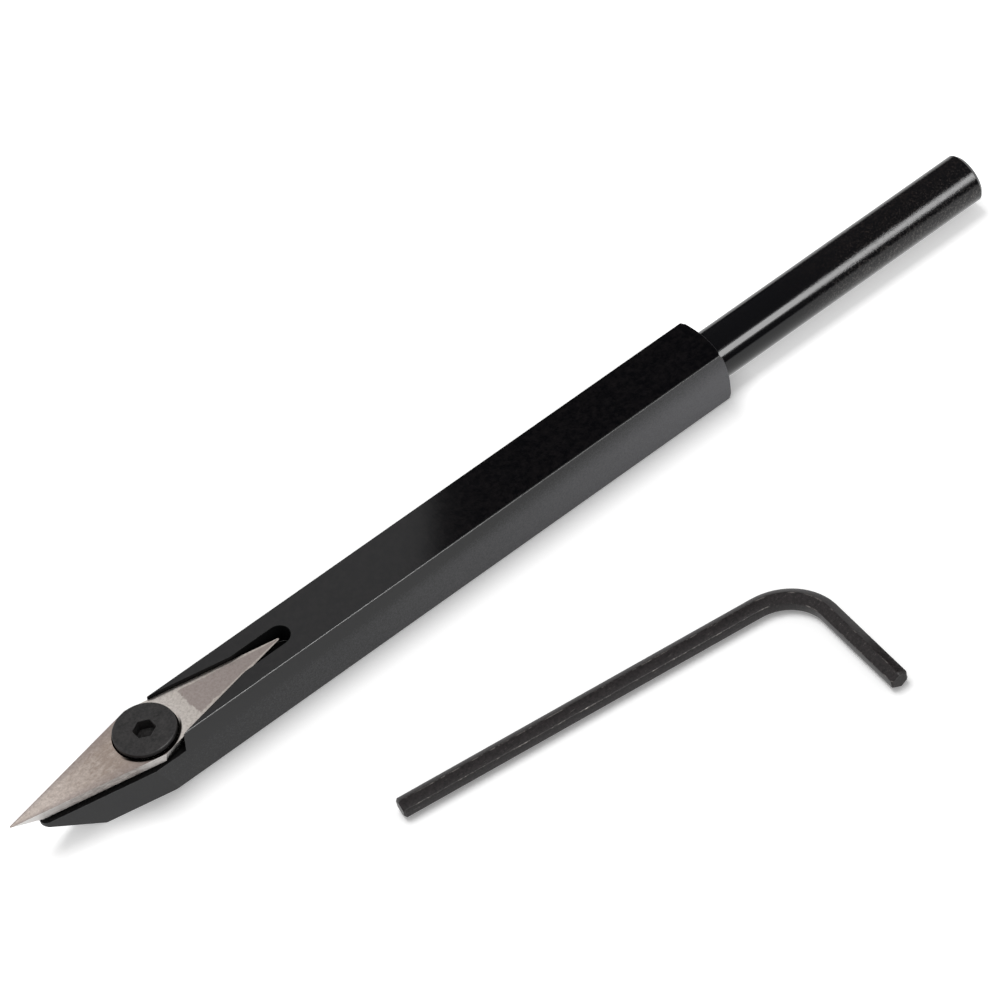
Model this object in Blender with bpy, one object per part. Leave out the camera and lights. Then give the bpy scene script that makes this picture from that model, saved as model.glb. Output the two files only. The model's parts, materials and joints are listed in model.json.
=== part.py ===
"""Carbide turning tool: a square steel bar with a round tang, a double-ended diamond insert that
lies in a milled pocket, the countersunk screw that clamps it, and the hex key that fits the screw.

Metres, +Z up. The origin is on the bar's underside, halfway along the bar. +X runs from the cutting
point towards the tang, and the bar lies on the plane z = 0 with the key beside it.
"""

import math

import bmesh
import bpy
from mathutils import Vector

for old_object in list(bpy.data.objects):
    bpy.data.objects.remove(old_object, do_unlink=True)

# Bar and tang
BAR_SIDE = 0.009525
BAR_LENGTH = 0.1211
BAR_EDGE_BREAK = 0.00014
TANG_DIAMETER = 0.00794
TANG_LENGTH = 0.0498
TANG_END_CHAMFER = 0.0005
SHOULDER_CONE_DEGREES = 14.0
SHOULDER_LAND = 0.0001

# Insert
INSERT_LENGTH = 0.04725
INSERT_WIDTH = 0.0109
INSERT_THICKNESS = 0.0026
INSERT_RELIEF_DEGREES = 22.0
INSERT_POINT_RADIUS = 0.0002

# Pocket and nose
POCKET_DEPTH = 0.0035
POCKET_WALL_DRAFT_DEGREES = 2.0
SLOT_WIDTH = 0.0038
SLOT_END_ROOM = 0.0019
POINT_OVERHANG = 0.0044
NOSE_INSET = 0.0002
NOSE_SIDE_RELIEF_DEGREES = 5.0
NOSE_UNDERSIDE_DEGREES = 33.0
NOSE_END_HEIGHT = 0.0006

# Clamp screw
SCREW_DIAMETER = 0.0050
SCREW_LENGTH = 0.0080
SCREW_END_CHAMFER = 0.0005
HEAD_DIAMETER = 0.0095
HEAD_CONE_DEGREES = 90.0
HEAD_RIM_HEIGHT = 0.0006
HEAD_EDGE_CHAMFER = 0.00015
HEAD_STAND = 0.0009
SOCKET_DEPTH = 0.0020
SOCKET_MOUTH_CHAMFER = 0.00012

# Hex key
KEY_FLATS = 0.00275
KEY_LONG_ARM = 0.0671
KEY_SHORT_ARM = 0.0252
KEY_BEND_RADIUS = 0.0080
KEY_BEND_DEGREES = 95.5
KEY_END_CHAMFER = 0.0003
KEY_BEHIND_SCREW = 0.0855
KEY_BESIDE_BAR = 0.0409
KEY_TURN_DEGREES = -7.9

# Clearances
SEAT_GAP = 0.00025
POCKET_CLEARANCE = 0.0001
THREAD_CLEARANCE = 0.00025
SOCKET_CLEARANCE = 0.00025

# How far a cutter runs past what it cuts, how near points are merged, and how many facets arcs have
OVERRUN = 0.001
MERGE_DISTANCE = 1e-7
ROUND_FACETS = 64
END_ARC_FACETS = 8
BEND_FACETS = 14
SMOOTH_DEGREES = 30.0

# Places worked out from the sizes above
NOSE_FRONT_X = -BAR_LENGTH / 2
SHOULDER_X = BAR_LENGTH / 2
TANG_END_X = SHOULDER_X + TANG_LENGTH
AXIS_Z = BAR_SIDE / 2
FLOOR_Z = BAR_SIDE - POCKET_DEPTH
SCREW_X = NOSE_FRONT_X + INSERT_LENGTH / 2 - POINT_OVERHANG
INSERT_BOTTOM_Z = FLOOR_Z + SEAT_GAP
INSERT_TOP_Z = INSERT_BOTTOM_Z + INSERT_THICKNESS
HEAD_TOP_Z = INSERT_TOP_Z + HEAD_STAND
CONE_TOP_Z = HEAD_TOP_Z - HEAD_EDGE_CHAMFER - HEAD_RIM_HEIGHT
CONE_SLOPE = math.tan(math.radians(HEAD_CONE_DEGREES / 2))
CONE_GAP = SEAT_GAP / math.cos(math.radians(HEAD_CONE_DEGREES / 2))
SOCKET_FLATS = KEY_FLATS + SOCKET_CLEARANCE

# Half of the insert's included point angle, from its rounded length and its width
POINT_RUN = INSERT_LENGTH / 2 - INSERT_POINT_RADIUS
POINT_RISE = INSERT_WIDTH / 2
POINT_HALF_ANGLE = math.atan2(POINT_RISE, POINT_RUN) - math.asin(
    INSERT_POINT_RADIUS / math.hypot(POINT_RUN, POINT_RISE)
)
# Where the two straight edges of one point would meet, measured from the screw's axis
POINT_APEX = POINT_RISE / math.tan(POINT_HALF_ANGLE)


def material(name, colour, roughness, metallic):
    """A Principled material with one colour."""
    made = bpy.data.materials.new(name)
    made.use_nodes = True
    shader = made.node_tree.nodes["Principled BSDF"]
    shader.inputs["Base Color"].default_value = (*colour, 1.0)
    shader.inputs["Roughness"].default_value = roughness
    shader.inputs["Metallic"].default_value = metallic
    return made


def add_object(name, bm, finish=None):
    """Turns a bmesh into an object; one without a finish is a cutter and stays hidden."""
    bmesh.ops.remove_doubles(bm, verts=bm.verts, dist=MERGE_DISTANCE)
    bmesh.ops.recalc_face_normals(bm, faces=bm.faces)
    mesh = bpy.data.meshes.new(name)
    bm.to_mesh(mesh)
    bm.free()
    made = bpy.data.objects.new(name, mesh)
    bpy.context.scene.collection.objects.link(made)
    if finish is None:
        made.hide_render = True
        made.display_type = "WIRE"
    else:
        mesh.materials.append(finish)
        mesh.shade_smooth()
        mesh.set_sharp_from_angle(angle=math.radians(SMOOTH_DEGREES))
    return made


def combine(target, tool, operation):
    """Adds a live Boolean; the tool moves with the target that it shapes."""
    tool.parent = target
    modifier = target.modifiers.new(tool.name, "BOOLEAN")
    modifier.operation = operation
    modifier.solver = "EXACT"
    modifier.object = tool


def loft(sections):
    """A closed solid through sections that hold equally many points, with flat ends."""
    bm = bmesh.new()
    rings = [[bm.verts.new(point) for point in section] for section in sections]
    count = len(rings[0])
    for low, high in zip(rings, rings[1:]):
        for i in range(count):
            j = (i + 1) % count
            bm.faces.new((low[i], low[j], high[j], high[i]))
    bm.faces.new(rings[0])
    bm.faces.new(rings[-1])
    return bm


def level(outline, height):
    """A plan outline as points at one height."""
    return [(x, y, height) for x, y in outline]


def turned(profile, axis, facets=ROUND_FACETS):
    """A solid of revolution; the profile holds (radius, distance along the axis) pairs."""
    along = Vector(axis)
    across = along.orthogonal().normalized()
    bm = bmesh.new()
    points = [bm.verts.new(across * radius + along * place) for radius, place in profile]
    edges = [bm.edges.new(pair) for pair in zip(points, points[1:])]
    bmesh.ops.spin(
        bm,
        geom=points + edges,
        axis=along,
        cent=(0.0, 0.0, 0.0),
        angle=math.tau,
        steps=facets,
        use_merge=True,
    )
    return bm


def arc(centre_x, centre_y, radius, start, end, facets):
    """Points along an arc, with angles in radians."""
    step = (end - start) / facets
    return [
        (
            centre_x + radius * math.cos(start + step * i),
            centre_y + radius * math.sin(start + step * i),
        )
        for i in range(facets + 1)
    ]


def hexagon(flats):
    """Corners of a hexagon whose flats lie above and below its middle."""
    radius = flats / math.sqrt(3)
    return [
        (radius * math.cos(math.radians(60 * i)), radius * math.sin(math.radians(60 * i)))
        for i in range(6)
    ]


def point_arc(radius, inset):
    """One end of the diamond, drawn in by an inset and rounded, pointing to -X from the screw."""
    apex = POINT_APEX - inset / math.sin(POINT_HALF_ANGLE)
    centre = apex - radius / math.sin(POINT_HALF_ANGLE)
    first = math.pi / 2 + POINT_HALF_ANGLE
    return arc(-centre, 0.0, radius, first, math.tau - first, END_ARC_FACETS)


def insert_outline(inset):
    """The double-ended diamond about the screw's axis, drawn in by an inset."""
    corner = POINT_RISE - inset / math.cos(POINT_HALF_ANGLE)
    front = point_arc(INSERT_POINT_RADIUS, inset)
    rear = [(-x, -y) for x, y in front]
    return front + [(0.0, -corner)] + rear + [(0.0, corner)]


def nose_outline(inset):
    """The plan of the nose under the insert: its edges, drawn in, with a full-round front end."""
    front = POINT_APEX - inset / math.sin(POINT_HALF_ANGLE)
    reach = SCREW_X - NOSE_FRONT_X
    sine = math.sin(POINT_HALF_ANGLE)
    radius = (front - reach) * sine / (1 - sine)
    wide = BAR_SIDE
    back = wide / math.tan(POINT_HALF_ANGLE) - front
    rear = TANG_END_X - SCREW_X + OVERRUN
    sides = [(back, -wide), (rear, -wide), (rear, wide), (back, wide)]
    return [(x + SCREW_X, y) for x, y in point_arc(radius, inset) + sides]


def make_shank(finish):
    """Square bar, turned down to the tang at the rear, with the nose and pocket milled in front."""
    half = BAR_SIDE / 2
    flat = half - BAR_EDGE_BREAK
    corners = [(1, 1), (-1, 1), (-1, -1), (1, -1)]
    section = []
    for side_y, side_z in corners:
        pair = [(flat * side_y, half * side_z), (half * side_y, flat * side_z)]
        section += pair if side_y * side_z < 0 else pair[::-1]
    ends = (NOSE_FRONT_X - OVERRUN, TANG_END_X + OVERRUN)
    bar = loft([[(x, y, z + AXIS_Z) for y, z in section] for x in ends])
    shank = add_object("tool_shank", bar, finish)

    # The lathe work: a cone that only trims the bar's corners, the shoulder and the tang
    clear = BAR_SIDE
    land = half - SHOULDER_LAND
    cone_back = (clear - land) * math.tan(math.radians(SHOULDER_CONE_DEGREES))
    tang = TANG_DIAMETER / 2
    profile = [
        (0.0, TANG_END_X),
        (tang - TANG_END_CHAMFER, TANG_END_X),
        (tang, TANG_END_X - TANG_END_CHAMFER),
        (tang, SHOULDER_X),
        (land, SHOULDER_X),
        (clear, SHOULDER_X - cone_back),
        (clear, NOSE_FRONT_X - 2 * OVERRUN),
        (0.0, NOSE_FRONT_X - 2 * OVERRUN),
    ]
    lathe = add_object("shank_lathe_work", turned(profile, (1.0, 0.0, 0.0)))
    lathe.location.z = AXIS_Z
    combine(shank, lathe, "INTERSECT")

    # The nose follows the insert's edges and draws in towards its underside
    draw = math.tan(math.radians(NOSE_SIDE_RELIEF_DEGREES))
    heights = (-OVERRUN, FLOOR_Z, BAR_SIDE + OVERRUN)
    insets = [NOSE_INSET + max(FLOOR_Z - z, 0.0) * draw for z in heights]
    nose = loft([level(nose_outline(d), z) for d, z in zip(insets, heights)])
    combine(shank, add_object("shank_nose_plan", nose), "INTERSECT")

    # The underside rises to a thin front end
    rise = math.tan(math.radians(NOSE_UNDERSIDE_DEGREES))
    low = -OVERRUN
    front_x = NOSE_FRONT_X - OVERRUN
    front_z = FLOOR_Z - NOSE_END_HEIGHT + OVERRUN * rise
    wedge = [(front_x, low), (front_x, front_z), (front_x + (front_z - low) / rise, low)]
    underside = loft([[(x, y, z) for x, z in wedge] for y in (-BAR_SIDE, BAR_SIDE)])
    combine(shank, add_object("shank_underside", underside), "DIFFERENCE")

    combine(shank, add_object("shank_pocket", make_pocket()), "DIFFERENCE")

    hole_radius = SCREW_DIAMETER / 2 + THREAD_CLEARANCE
    hole = turned(
        [(0.0, BAR_SIDE), (hole_radius, BAR_SIDE), (hole_radius, -OVERRUN), (0.0, -OVERRUN)],
        (0.0, 0.0, 1.0),
    )
    drill = add_object("shank_screw_hole", hole)
    drill.location.x = SCREW_X
    combine(shank, drill, "DIFFERENCE")
    return shank


def pocket_outline(clearance):
    """The plan of the pocket: open in front, walls along the rear flanks, and a round-ended slot."""
    half_slot = SLOT_WIDTH / 2
    apex = POINT_APEX + clearance / math.sin(POINT_HALF_ANGLE)
    kink = apex - half_slot / math.tan(POINT_HALF_ANGLE)
    wide = BAR_SIDE
    mouth = apex - wide / math.tan(POINT_HALF_ANGLE)
    slot_centre = INSERT_LENGTH / 2 + SLOT_END_ROOM - half_slot
    front = NOSE_FRONT_X - SCREW_X - 2 * OVERRUN
    slot_end = arc(slot_centre, 0.0, half_slot, -math.pi / 2, math.pi / 2, ROUND_FACETS // 2)
    outline = [(front, wide), (front, -wide), (mouth, -wide), (kink, -half_slot)]
    outline += slot_end + [(kink, half_slot), (mouth, wide)]
    return [(x + SCREW_X, y) for x, y in outline]


def make_pocket():
    """The milled pocket, whose walls lean back from the insert's edges towards the bar's top."""
    lean = math.tan(math.radians(POCKET_WALL_DRAFT_DEGREES))
    heights = (FLOOR_Z, BAR_SIDE + OVERRUN)
    clearances = [POCKET_CLEARANCE + (z - INSERT_TOP_Z) * lean for z in heights]
    return loft([level(pocket_outline(c), z) for c, z in zip(clearances, heights)])


def make_insert(shank, finish):
    """Relieved double-ended diamond, with a countersunk hole for the screw."""
    relief = INSERT_THICKNESS * math.tan(math.radians(INSERT_RELIEF_DEGREES))
    sections = [
        level(insert_outline(relief), 0.0),
        level(insert_outline(0.0), INSERT_THICKNESS),
    ]
    insert = add_object("carbide_insert", loft(sections), finish)
    insert.parent = shank
    insert.location = (SCREW_X, 0.0, INSERT_BOTTOM_Z)

    bore = SCREW_DIAMETER / 2 + THREAD_CLEARANCE
    top = INSERT_THICKNESS + OVERRUN
    cone_top = CONE_TOP_Z - INSERT_BOTTOM_Z
    mouth = HEAD_DIAMETER / 2 + (top - cone_top) * CONE_SLOPE + CONE_GAP
    cone_end = top - (mouth - bore) / CONE_SLOPE
    hole = turned(
        [(0.0, top), (mouth, top), (bore, cone_end), (bore, -OVERRUN), (0.0, -OVERRUN)],
        (0.0, 0.0, 1.0),
    )
    combine(insert, add_object("insert_screw_hole", hole), "DIFFERENCE")
    return insert


def make_screw(insert, finish):
    """Countersunk hex-socket screw, with its origin on its axis at the top of its head."""
    head = HEAD_DIAMETER / 2
    shank = SCREW_DIAMETER / 2
    cone_top = -HEAD_EDGE_CHAMFER - HEAD_RIM_HEIGHT
    cone_end = cone_top - (head - shank) / CONE_SLOPE
    profile = [
        (0.0, 0.0),
        (head - HEAD_EDGE_CHAMFER, 0.0),
        (head, -HEAD_EDGE_CHAMFER),
        (head, cone_top),
        (shank, cone_end),
        (shank, SCREW_END_CHAMFER - SCREW_LENGTH),
        (shank - SCREW_END_CHAMFER, -SCREW_LENGTH),
        (0.0, -SCREW_LENGTH),
    ]
    screw = add_object("clamp_screw", turned(profile, (0.0, 0.0, 1.0)), finish)
    screw.parent = insert
    screw.location.z = HEAD_TOP_Z - INSERT_BOTTOM_Z

    # One corner of the socket points across the bar, and its mouth is slightly opened out
    wide = SOCKET_FLATS + 2 * (SOCKET_MOUTH_CHAMFER + OVERRUN)
    sizes = [(SOCKET_FLATS, -SOCKET_DEPTH), (SOCKET_FLATS, -SOCKET_MOUTH_CHAMFER), (wide, OVERRUN)]
    sections = [level([(-y, x) for x, y in hexagon(flats)], z) for flats, z in sizes]
    combine(screw, add_object("screw_socket", loft(sections)), "DIFFERENCE")
    return screw


def key_path():
    """Frames along the key: place, heading angle and how much of the section is left."""
    turn = math.radians(180.0 - KEY_BEND_DEGREES)
    tangent = KEY_BEND_RADIUS * math.tan(turn / 2)
    long_end = KEY_LONG_ARM - KEY_FLATS / 2
    short_end = KEY_SHORT_ARM - KEY_FLATS / 2
    trimmed = 1 - 2 * KEY_END_CHAMFER / KEY_FLATS
    frames = [(Vector((-long_end, 0.0)), 0.0, trimmed)]
    frames.append((Vector((KEY_END_CHAMFER - long_end, 0.0)), 0.0, 1.0))
    for i in range(BEND_FACETS + 1):
        angle = turn * i / BEND_FACETS
        bend = Vector((math.sin(angle), math.cos(angle) - 1)) * KEY_BEND_RADIUS
        frames.append((Vector((-tangent, 0.0)) + bend, -angle, 1.0))
    along = Vector((math.cos(turn), -math.sin(turn)))
    frames.append((along * (short_end - KEY_END_CHAMFER), -turn, 1.0))
    frames.append((along * short_end, -turn, trimmed))
    return frames


def make_key(shank, finish):
    """Bent hexagon bar with upright flats, with its origin below where its arms' middle lines meet."""
    sections = []
    for place, heading, scale in key_path():
        across = Vector((-math.sin(heading), math.cos(heading), 0.0))
        centre = Vector((place.x, place.y, KEY_FLATS / math.sqrt(3)))
        rise = Vector((0.0, 0.0, 1.0))
        sections.append(
            [centre + (across * b + rise * a) * scale for a, b in hexagon(KEY_FLATS)]
        )
    key = add_object("hex_key", loft(sections), finish)
    key.parent = shank
    key.location = (SCREW_X + KEY_BEHIND_SCREW, -KEY_BESIDE_BAR, 0.0)
    key.rotation_euler.z = math.radians(KEY_TURN_DEGREES)
    return key


black_steel = material("black oxide steel", (0.010, 0.010, 0.011), 0.38, 0.0)
ground_carbide = material("ground tungsten carbide", (0.43, 0.39, 0.36), 0.42, 0.6)
screw_black = material("black oxide screw steel", (0.036, 0.036, 0.040), 0.55, 0.0)
key_black = material("black oxide key steel", (0.026, 0.025, 0.026), 0.45, 0.0)

tool_shank = make_shank(black_steel)
carbide_insert = make_insert(tool_shank, ground_carbide)
clamp_screw = make_screw(carbide_insert, screw_black)
hex_key = make_key(tool_shank, key_black)
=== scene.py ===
"""Looks of the carbide turning tool: black oxide bar, carbide insert, socket screw and hex key.

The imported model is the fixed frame. Each sub-assembly is a class that builds its pieces around its
CAD node, dresses them in finishes and hands them to the body that carries them. Metres, +Z up.
"""

import json
import logging
import math
from collections.abc import Callable
from dataclasses import dataclass
from enum import Enum
from functools import partial

import bmesh
import bpy
from bmesh.types import BMesh
from bpy.types import ID, Material, Mesh, Node, NodeSocket, NodeTree, Object
from mathutils import Matrix, Vector


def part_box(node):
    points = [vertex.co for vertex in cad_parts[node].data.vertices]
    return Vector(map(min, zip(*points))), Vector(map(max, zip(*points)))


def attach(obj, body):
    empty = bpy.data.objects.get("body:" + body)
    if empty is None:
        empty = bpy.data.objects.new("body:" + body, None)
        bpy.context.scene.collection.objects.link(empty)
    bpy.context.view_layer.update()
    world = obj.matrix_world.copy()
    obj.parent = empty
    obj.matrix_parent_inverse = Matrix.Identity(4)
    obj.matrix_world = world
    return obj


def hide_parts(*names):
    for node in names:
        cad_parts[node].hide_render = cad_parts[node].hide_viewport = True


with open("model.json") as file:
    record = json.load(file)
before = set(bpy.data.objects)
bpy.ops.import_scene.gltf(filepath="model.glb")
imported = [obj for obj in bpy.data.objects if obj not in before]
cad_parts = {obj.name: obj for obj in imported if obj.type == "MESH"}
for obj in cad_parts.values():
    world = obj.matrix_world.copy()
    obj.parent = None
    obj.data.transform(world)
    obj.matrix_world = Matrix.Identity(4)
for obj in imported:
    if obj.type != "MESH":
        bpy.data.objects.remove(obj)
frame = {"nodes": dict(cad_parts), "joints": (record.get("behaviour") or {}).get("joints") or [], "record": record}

log = logging.getLogger("turning_tool")

AddNode = Callable[..., NodeSocket]
Sockets = dict[str, object]
Pair = tuple[float, float]
Triple = tuple[float, float, float]

MM = 0.001
THREAD_PITCH = 0.8 * MM
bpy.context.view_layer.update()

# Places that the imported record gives
MOUNTS = {mount["name"]: Vector(mount["pos_m"]) for mount in frame["record"]["mounts"]}
SHOULDER_X = MOUNTS["shoulder_face"].x
SCREW_TOP = next(Vector(j["pos_m"]) for j in frame["joints"] if j["name"] == "screw_turn")
SHANK_LOW, SHANK_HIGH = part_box("tool_shank")
INSERT_LOW, INSERT_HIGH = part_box("carbide_insert")
SCREW_LOW, SCREW_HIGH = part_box("clamp_screw")
BAR_SIDE = SHANK_HIGH.z - SHANK_LOW.z
HEAD_RADIUS = (SCREW_HIGH.x - SCREW_LOW.x) / 2

# Kinds of node that are used often
COORDS, SPLIT, RAY_KIND = "ShaderNodeTexCoord", "ShaderNodeSeparateXYZ", "ShaderNodeLightPath"
NOISE, RANGE, MATH = "ShaderNodeTexNoise", "ShaderNodeMapRange", "ShaderNodeMath"
VECTOR, MIX, BUMP = "ShaderNodeVectorMath", "ShaderNodeMix", "ShaderNodeBump"

# A Mix node's sockets for colours, by number since their names are shared, and its settings
FACTOR, A, B = 0, 6, 7
IN_COLOUR = {"data_type": "RGBA", "out": 2}

# A Compare node's sockets for whole numbers
WHOLE_A, WHOLE_B = 2, 3

# A Map Range node's setting for an eased range, and a Wave node's period at scale 1
SMOOTH = {"interpolation_type": "SMOOTHSTEP"}
WAVE_PERIOD = math.pi / 10

# Name under which a finish hands out the height of its relief
HEIGHT = "Height"

# Mesh attribute that is 1 along the key's ridges and 0 on its flats
RIDGE = "ridge"

# A material slot that stands for the neighbouring face's own
SAME_SLOT = -1


def linear(hex_colour: str) -> tuple[float, float, float, float]:
    """Turns an sRGB hex colour into linear light.

    Args:
        hex_colour: a colour such as "#b5aca5".

    Returns:
        Red, green, blue and a full alpha.
    """
    shares = [int(hex_colour[i : i + 2], 16) / 255 for i in (1, 3, 5)]
    light = [s / 12.92 if s <= 0.04045 else ((s + 0.055) / 1.055) ** 2.4 for s in shares]
    return (*light, 1.0)


def fill(node: Node, inputs: dict) -> None:
    """Sets or links a node's inputs.

    Args:
        node: the node.
        inputs: a value, a hex colour or another node's output for each named or numbered input.
    """
    for key, value in inputs.items():
        if isinstance(value, NodeSocket):
            node.id_data.links.new(value, node.inputs[key])
        else:
            coloured = isinstance(value, str) and value.startswith("#")
            node.inputs[key].default_value = linear(value) if coloured else value


def add_node(
    tree: NodeTree, kind: str, inputs: dict | None = None, out: int | str = 0, **settings: object
) -> NodeSocket:
    """Adds one node, sets it up and fills or links its inputs.

    Args:
        tree: the node tree that gets the node.
        kind: the node's type name.
        inputs: what goes into its inputs, as for fill.
        out: which output goes on.
        settings: the node's own properties.

    Returns:
        The output that was asked for.
    """
    made = tree.nodes.new(kind)
    for name, value in settings.items():
        setattr(made, name, value)
    fill(made, inputs or {})
    return made.outputs[out]


def ramp(
    ends: Pair = (0.0, 1.0),
    unit: float = 1.0,
    start: float = 0.0,
    to: tuple[object, object] = (0.0, 1.0),
) -> Sockets:
    """Works out what a Map Range node changes into what.

    Args:
        ends: where the range begins and ends.
        unit: what the ends are counted in.
        start: where they are counted from.
        to: the value or the output that each end becomes.

    Returns:
        Four of the node's inputs.
    """
    low, high = (start + end * unit for end in ends)
    return {"From Min": low, "From Max": high, "To Min": to[0], "To Max": to[1]}


@dataclass(frozen=True)
class Pattern:
    """A cloudy pattern of a real size, such as grit, stains or scratches.

    Between the two levels of its noise, its strength goes from the first to the second value.
    """

    size_mm: float
    detail: float
    breakup: float = 0.5
    levels: Pair = (0.0, 1.0)
    strengths: Pair = (0.0, 1.0)
    stretch: Triple | None = None
    turn_degrees: float = 0.0

    def build(self, add: AddNode, place: NodeSocket) -> tuple[NodeSocket, NodeSocket]:
        """Adds the pattern's nodes.

        Args:
            add: adds a node.
            place: the place on the piece.

        Returns:
            The noise itself, and its strength.
        """
        if self.stretch:
            turn = (0.0, 0.0, math.radians(self.turn_degrees))
            laid = {"Rotation": turn, "Scale": self.stretch}
            place = add("ShaderNodeMapping", {"Vector": place, **laid})
        scale = 1 / (self.size_mm * MM)
        cloud = {"Scale": scale, "Detail": self.detail, "Roughness": self.breakup}
        noise = add(NOISE, {"Vector": place, **cloud})
        if self.levels == self.strengths:
            return noise, noise
        return noise, add(RANGE, {"Value": noise, **ramp(self.levels, to=self.strengths)})


@dataclass(frozen=True)
class Finish:
    """What every finish shares: a named material, plain inputs and a surface in slight relief."""

    name: str = ""
    metallic: float = 0.0
    roughness: float = 0.5
    ior: float = 1.5
    relief: float = 0.0
    relief_mm: float = 0.02

    def material(self) -> Material:
        """Makes the finish's node material, unless it is there already.

        Returns:
            The material, which pieces of the same finish share.
        """
        made = bpy.data.materials.get(self.name)
        if made is None:
            made = bpy.data.materials.new(self.name)
            made.use_nodes = True
            add = partial(add_node, made.node_tree)
            plain = {"Metallic": self.metallic, "Roughness": self.roughness, "IOR": self.ior}
            sockets = {**plain, **self.paint(add, add(COORDS, out="Object"))}
            if HEIGHT in sockets:
                depth = {"Strength": self.relief, "Distance": self.relief_mm * MM}
                sockets["Normal"] = add(BUMP, {"Height": sockets.pop(HEIGHT), **depth})
            fill(made.node_tree.nodes["Principled BSDF"], sockets)
        return made

    def paint(self, add: AddNode, place: NodeSocket) -> Sockets:
        """Works out the inputs that aren't plain, and the relief's height."""
        raise NotImplementedError


@dataclass(frozen=True)
class OiledBlackOxide(Finish):
    """Black oxide on ground steel, wiped with oil: the bar's top and underside.

    The thin, smooth film mirrors softly and stays black where nothing bright is mirrored.
    Faint brownish clouds and fine grit show in it.
    """

    name: str = "black_oxide_steel_ground"
    black: str = "#0a0a0c"
    brown: str = "#181617"
    cloud: Pattern = Pattern(0.9, 6.0, 0.7, levels=(0.4, 0.7))
    # The wheel's lines run across the bar; they are finer than a pixel, so they are drawn coarser
    grit: Pattern = Pattern(0.25, 3.0, 0.7, stretch=(1.0, 0.12, 1.0))
    grit_roughness: Pair = (0.042, 0.078)
    relief: float = 0.06
    relief_mm: float = 0.01
    ior: float = 1.365

    def paint(self, add: AddNode, place: NodeSocket) -> Sockets:
        """Clouds the black with brown and varies its gloss with the grit.

        Args:
            add: adds a node.
            place: the place on the piece.

        Returns:
            The shader's inputs and the relief's height.
        """
        _, clouds = self.cloud.build(add, place)
        grit, _ = self.grit.build(add, place)
        colour = add(MIX, {FACTOR: clouds, A: self.black, B: self.brown}, **IN_COLOUR)
        rough = add(RANGE, {"Value": grit, **ramp(to=self.grit_roughness)})
        return {"Base Color": colour, "Roughness": rough, HEIGHT: grit}


@dataclass(frozen=True)
class DrawnBlackOxide(Finish):
    """Black oxide on the bar's cold-drawn sides: dry and matt, with a fine speckle.

    Its tone is painted darker in front and along the top edge and lighter to the rear and the underside, as
    painted shade and light.
    """

    name: str = "black_oxide_steel_drawn"
    # Ends of the tone: the dark end carries grain and painted shade, the pale end grain and painted light
    dark_grain_and_shade: str = "#1f1f20"
    thin: str = "#616164"
    fleck: str = "#a8a8a8"
    speckles: Pattern = Pattern(0.22, 4.0, 0.75, levels=(0.3, 0.7), strengths=(-0.24, 0.24))
    fleck_spacing_mm: float = 8.0
    fleck_shares: Pair = (0.014, 0.008)
    rear_light_start_mm: float = 4.0
    rear_light_power: float = 1.6
    top_shade_shares: Pair = (0.5, 1.0)
    top_shade_most: float = 0.62
    relief: float = 0.1
    roughness: float = 0.42
    ior: float = 1.4

    def paint(self, add: AddNode, place: NodeSocket) -> Sockets:
        """Paints light towards the rear and shade along the top edge, and strews pale flecks.

        Args:
            add: adds a node.
            place: the place on the piece.

        Returns:
            The shader's inputs and the relief's height.
        """
        split = add(SPLIT, {"Vector": place}).node.outputs
        # Painted light: the sides are made lighter towards the rear
        front_x = SCREW_TOP.x - self.rear_light_start_mm * MM
        rear = add(RANGE, {"Value": split["X"], "From Min": front_x, "From Max": SHOULDER_X})
        rear_light = add(MATH, {0: rear, 1: self.rear_light_power}, operation="POWER")
        # Painted shade: the sides are made darker towards the top edge
        film = ramp(self.top_shade_shares, BAR_SIDE, to=(0.0, self.top_shade_most))
        upper = add(RANGE, {"Value": split["Z"], **film}, **SMOOTH)
        light_and_shade = add(MATH, {0: rear_light, 1: upper}, operation="SUBTRACT")
        speckle, grain = self.speckles.build(add, place)
        mixed = add(MATH, {0: light_and_shade, 1: grain}, operation="ADD", use_clamp=True)
        tone = add(MIX, {FACTOR: mixed, A: self.dark_grain_and_shade, B: self.thin}, **IN_COLOUR)
        scale = 1 / (self.fleck_spacing_mm * MM)
        cells = add("ShaderNodeTexVoronoi", {"Vector": place, "Scale": scale}, out="Distance")
        flecks = add(RANGE, {"Value": cells, **ramp(self.fleck_shares)})
        colour = add(MIX, {FACTOR: flecks, A: tone, B: self.fleck}, **IN_COLOUR)
        return {"Base Color": colour, HEIGHT: speckle}


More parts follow.
